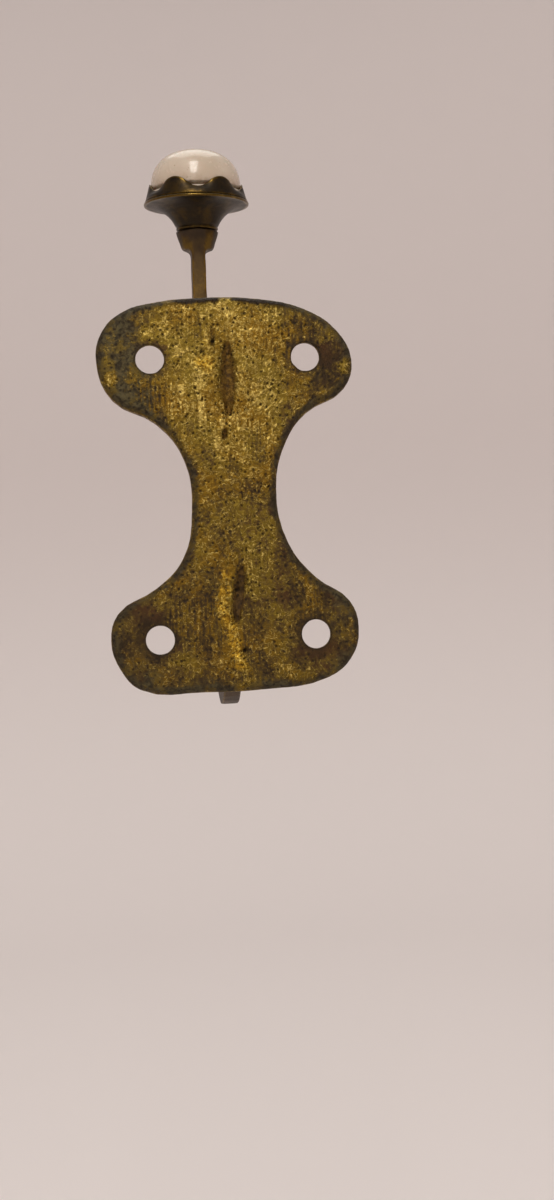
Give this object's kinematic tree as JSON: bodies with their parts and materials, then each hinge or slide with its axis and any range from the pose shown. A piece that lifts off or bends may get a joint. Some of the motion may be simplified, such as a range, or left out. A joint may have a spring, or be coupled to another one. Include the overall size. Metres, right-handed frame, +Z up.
{
  "type": "hat and coat hook",
  "caption": "Wall hook with an hourglass back plate, a C-shaped coat hook and an upturned arm that ends in a white round knob.",
  "frame": {"origin": "on the flat wall face of the back plate, at the middle of its four screw holes", "axes": "+Z up along the plate, +Y out of the wall face into the wall, the arm stands out along -Y"},
  "size_m": [0.0397, 0.0857, 0.1161],
  "materials": {
    "plate_brass": "as cast, aged, granular",
    "arm_brass": "aged satin",
    "knob_brass": "dark aged satin",
    "steel": "plain turned",
    "plaster": "matt plaster",
    "porcelain": "glazed, glossy"
  },
  "bodies": {
    "hook": {"back_plate": "plate_brass", "scroll_arm": "arm_brass"},
    "knob": {"knob_stud": "steel", "knob_base": "knob_brass", "petal_bezel": "knob_brass", "knob_nut": "steel", "knob_cement": "plaster", "porcelain_knob": "porcelain"}
  },
  "joints": [
    {"name": "knob_turn", "type": "hinge", "parent": "hook", "child": "knob", "pos_m": [0, -0.07527, 0.06545], "axis": [0, 0.1392, 0.9903], "continuous": true}
  ]
}
